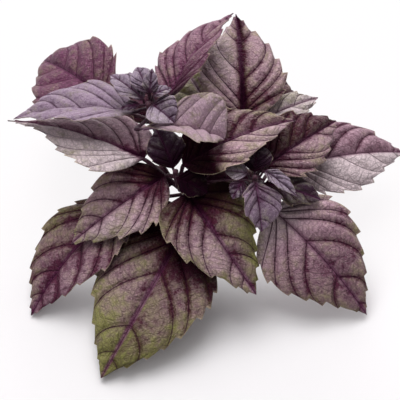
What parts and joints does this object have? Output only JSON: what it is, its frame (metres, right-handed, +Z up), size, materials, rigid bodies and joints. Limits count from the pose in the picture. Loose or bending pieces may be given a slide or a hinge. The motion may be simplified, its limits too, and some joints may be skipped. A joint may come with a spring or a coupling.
{
  "type": "purple basil bunch",
  "caption": "Cut bunch of purple basil: a spreading leafy head of pointed, toothed leaves on square stems that trail along the surface it lies on.",
  "frame": {"origin": "on the surface that the bunch lies on, under the middle of its box", "axes": "+Z up; -Y to the front, the way the leafy head faces; +Y to the back, where the cut stems trail; +X to the right seen from the front"},
  "size_m": [0.1879, 0.1881, 0.074],
  "materials": {
    "leaf": "soft satin, quilted between the veins",
    "leaf_green": "soft satin, purple turning olive green",
    "young_leaf": "satin, strongly quilted",
    "stem": "satin, dark wine red"
  },
  "bodies": {
    "root": {"left_stem": "stem", "right_stem": "stem", "centre_stem": "stem", "back_stem": "stem", "front_green": "leaf_green", "front_left": "leaf_green", "front_centre": "leaf_green", "left_mid": "leaf", "left_lower": "leaf", "centre_right": "leaf", "front_right": "leaf", "right_fold": "leaf", "right_back": "leaf", "left_upper": "leaf", "right_upper": "leaf", "upper_left": "leaf", "back_left": "leaf", "back": "leaf", "back_middle": "leaf", "far_right": "leaf", "low_left": "leaf", "low_back_left": "leaf", "low_back": "leaf", "low_back_right": "leaf", "low_right": "leaf", "low_front": "leaf", "centre_low": "leaf", "centre_shade": "leaf", "young_left": "young_leaf", "young_back": "young_leaf", "young_up": "young_leaf", "young_front": "young_leaf", "young_right": "young_leaf", "young_side": "young_leaf", "right_young_front": "young_leaf", "right_young_up": "young_leaf", "right_young_left": "young_leaf", "right_young_low": "young_leaf", "right_side": "young_leaf", "right_young_right": "young_leaf", "centre_young_up": "young_leaf", "centre_young_front": "young_leaf"}
  },
  "joints": []
}
